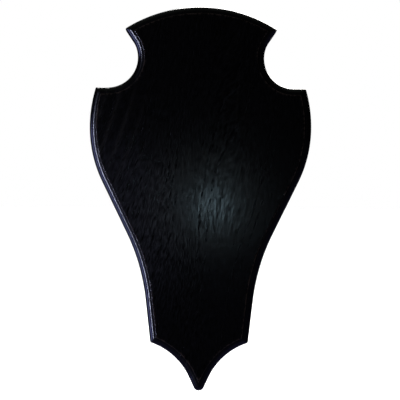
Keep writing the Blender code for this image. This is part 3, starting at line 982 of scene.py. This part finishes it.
def wool_felt(name):
    """Pressed grey wool felt: tangled fibres, with a few lighter and darker ones."""
    n = Nodes(name)
    place = n.in_millimetres()
    bend = n.node("ShaderNodeTexNoise", {"Vector": place, "Scale": 1.1, "Detail": 2.0}, "Color")
    tangled = n.moved(place, n.scaled(bend, (2.4, 2.4, 2.4)))
    first = n.noise(n.scaled(tangled, (9.0, 9.0, 1.4)), 1.0, 3.0, 0.6)
    second = n.noise(n.scaled(tangled, (1.4, 9.0, 9.0)), 1.0, 3.0, 0.6)
    fibre = n.math("MAXIMUM", first, second)
    lumps = n.noise(n.scaled(place, (0.9, 0.9, 0.9)), 1.0, 3.0)
    tone = n.colour(n.ramp(fibre, 0.45, 0.75), FELT_DARK, FELT_LIGHT)
    tone = n.colour(n.ramp(lumps, 0.35, 0.75, 0.0, 0.45), tone, FELT_LUMP)
    normal = n.bump(fibre, 0.00010, n.bump(lumps, 0.00008))
    return n.finish(
        Base_Color=tone,
        Roughness=n.math("MULTIPLY_ADD", fibre, 0.12, 0.85),
        Specular_IOR_Level=0.25,
        Sheen_Weight=0.35,
        Sheen_Roughness=0.55,
        Normal=normal,
    )


def adhesive_film(name):
    """The pad's thin foam adhesive, off-white and slightly uneven."""
    n = Nodes(name)
    place = n.in_millimetres()
    cloud = n.noise(place, 0.8, 4.0)
    fine = n.noise(place, 7.0, 2.0)
    tone = n.colour(cloud, FILM_DARK, FILM_LIGHT)
    rough = n.math("MULTIPLY_ADD", fine, 0.2, 0.4)
    return n.finish(Base_Color=tone, Roughness=rough, Normal=n.bump(fine, 0.00002))


# ---- Pieces ------------------------------------------------------------------------------------
oak_front = black_oak("black oak, lacquered", True)
oak_back = black_oak("black oak, bare back", False)
strap_zinc = zinc("zinc, strap", (7.0, 7.0, 0.35))
ring_zinc = zinc("zinc, wire", (0.6, 6.0, 6.0))
screw_zinc = zinc("zinc, screws", (4.0, 0.8, 4.0))
felt = wool_felt("grey wool felt")
film = adhesive_film("adhesive film")


def place(piece, body, node, slot):
    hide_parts(node)
    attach(piece, body)


place(build_board(oak_front, oak_back), "shield", "shield_board", "board")
place(build_strap(strap_zinc), "shield", "hanger_strap", "hanger")
place(build_ring(ring_zinc), "ring", "hanger_ring", "ring")
for drop, label in zip(SCREW_DROPS, ("upper", "lower")):
    node = f"hanger_screw_{label}"
    place(build_screw(node, HINGE.z - drop, screw_zinc), "shield", node, "screw")
for seed, label in enumerate(("shoulder_left", "shoulder_right", "foot_left", "foot_right")):
    node = f"felt_pad_{label}"
    place(build_pad(node, seed, felt, film), "shield", node, "pad")


# ---- Studio ------------------------------------------------------------------------------------
CAMERA_DISTANCE = 1.2
CAMERA_LEVEL = -0.0009
CAMERA_ROLL = 0.41
FRAME_WIDTH = 0.2702
SENSOR_WIDTH = 36.0
LAMP_DISTANCE = 0.3
FLOOR_LEVEL = -0.15
FLOOR_EXTENT = 30.0
SUN_STRENGTH = 4.6
SKY = (  # height on a sphere round the scene, 0 at the bottom and 1 at the top, and its colour
    (0.0, (0.060, 0.060, 0.150)),
    (1.0, (0.055, 0.062, 0.058)),
    (0.30, (0.024, 0.024, 0.050)),
    (0.5, (0.002, 0.002, 0.003)),
    (0.72, (0.006, 0.006, 0.006)),
)
scene = bpy.context.scene
scene.view_settings.view_transform = "Standard"


def aimed(obj, place, target=(0.0, 0.0, 0.0)):
    obj.location = place
    obj.rotation_euler = (Vector(target) - Vector(place)).to_track_quat("-Z", "Y").to_euler()


def area_light(name, place, size, radiance, colour, target=(0.0, FRONT_Y, 0.0), shape="RECTANGLE"):
    """An area light of this radiance, which the camera doesn't see."""
    light = bpy.data.lights.new(name, "AREA")
    light.shape = shape
    light.size, light.size_y = size
    area = size[0] * size[1] * (1.0 if shape == "RECTANGLE" else math.pi / 4)
    light.energy = radiance * math.pi * area
    light.color = colour
    lamp = bpy.data.objects.new(name, light)
    lamp.visible_camera = False
    scene.collection.objects.link(lamp)
    aimed(lamp, place, target)


def lamp_in_front(name, x, z, size, radiance, colour, shape):
    """A lamp that the flat face reflects towards the camera."""
    area_light(name, (x, FRONT_Y - LAMP_DISTANCE, z), size, radiance, colour, shape=shape)


def left_of_axis(degrees, distance, height):
    """A place so many degrees to the left of the camera's axis, as seen from the board."""
    a = math.radians(degrees)
    return (-distance * math.sin(a), FRONT_Y - distance * math.cos(a), height)


lamp_in_front("round lamp", 0.011, -0.006, (0.012, 0.012), 20.0, (0.55, 0.84, 1.0), "DISK")
lamp_in_front("side lamp", 0.004, -0.002, (0.095, 0.080), 0.16, (0.92, 1.0, 1.0), "ELLIPSE")
lamp_in_front("wide side lamp", -0.080, -0.020, (0.130, 0.130), 0.16, (0.60, 0.62, 1.0), "ELLIPSE")
softbox_place = left_of_axis(77.0, 1.0, -0.24)
strip_place = left_of_axis(33.2, 1.0, -0.07)
back_target = (0.0, BACK_Y, 0.0)
area_light("left softbox", softbox_place, (0.42, 0.72), 2.5, (0.38, 0.43, 1.0))
area_light("left strip", strip_place, (0.052, 0.36), 58.0, (0.66, 0.70, 1.0))
area_light("back fill", (0.35, 1.3, 0.9), (1.0, 1.0), 8.0, (1.0, 0.98, 0.95), back_target)

# The world: white where the camera looks, and the sky's gradient for light and reflections.
world = bpy.data.worlds.new("studio")
scene.world = world
world.use_nodes = True
tree = world.node_tree
tree.nodes.clear()
path = tree.nodes.new("ShaderNodeLightPath")
shades = tree.nodes.new("ShaderNodeMix")
shades.data_type = "RGBA"
looking = tree.nodes.new("ShaderNodeTexCoord")
parts = tree.nodes.new("ShaderNodeSeparateXYZ")
tree.links.new(looking.outputs["Generated"], parts.inputs[0])
sky = tree.nodes.new("ShaderNodeValToRGB")
rise = tree.nodes.new("ShaderNodeMapRange")
rise.inputs["From Min"].default_value = -1.0
tree.links.new(parts.outputs["Z"], rise.inputs["Value"])
tree.links.new(rise.outputs[0], sky.inputs[0])
for end, (_, colour) in enumerate(SKY[:2]):
    sky.color_ramp.elements[end].color = (*colour, 1.0)
for stop, colour in SKY[2:]:
    sky.color_ramp.elements.new(stop).color = (*colour, 1.0)
tree.links.new(sky.outputs[0], shades.inputs[6])
shades.inputs[7].default_value = (1.0, 1.0, 1.0, 1.0)
background = tree.nodes.new("ShaderNodeBackground")
output = tree.nodes.new("ShaderNodeOutputWorld")
tree.links.new(path.outputs["Is Camera Ray"], shades.inputs[0])
tree.links.new(shades.outputs[2], background.inputs["Color"])
tree.links.new(background.outputs[0], output.inputs[0])

floor_mesh = bpy.data.meshes.new("floor")
corners = [(x * FLOOR_EXTENT, y * FLOOR_EXTENT, 0) for x, y in ((-1, -1), (1, -1), (1, 1), (-1, 1))]
floor_mesh.from_pydata(corners, [], [(0, 1, 2, 3)])
paper = Nodes("white paper")
speckle = paper.noise(paper.node("ShaderNodeTexCoord", (), "Object"), 40.0, 3.0)
paper_tone = paper.colour(speckle, (0.86, 0.86, 0.86), (0.90, 0.90, 0.90))
paper.finish(Base_Color=paper_tone, Roughness=0.9, Specular_IOR_Level=0.2)
floor = join_object("floor", floor_mesh, paper.material)
floor.location = (0.0, 0.0, FLOOR_LEVEL)
floor.visible_glossy = False
floor.visible_diffuse = False
floor.visible_shadow = False

floor_only = bpy.data.collections.new("floor only")
floor_only.objects.link(floor)
sun = bpy.data.objects.new("floor sun", bpy.data.lights.new("floor sun", "SUN"))
sun.data.energy = SUN_STRENGTH
sun.data.angle = math.radians(20)
sun.light_linking.receiver_collection = floor_only
sun.light_linking.blocker_collection = floor_only
scene.collection.objects.link(sun)
aimed(sun, (0.3, -0.5, 2.0))

camera = bpy.data.objects.new("camera", bpy.data.cameras.new("camera"))
camera.data.sensor_width = SENSOR_WIDTH
camera.data.lens = SENSOR_WIDTH * CAMERA_DISTANCE / FRAME_WIDTH
camera.location = (0.0, FRONT_Y - CAMERA_DISTANCE, CAMERA_LEVEL)
upright = Matrix.Rotation(math.radians(90), 4, "X")
camera.rotation_euler = (upright @ Matrix.Rotation(math.radians(CAMERA_ROLL), 4, "Z")).to_euler()
camera.data.clip_start = 0.05
scene.collection.objects.link(camera)
scene.camera = camera

bpy.context.view_layer.update()
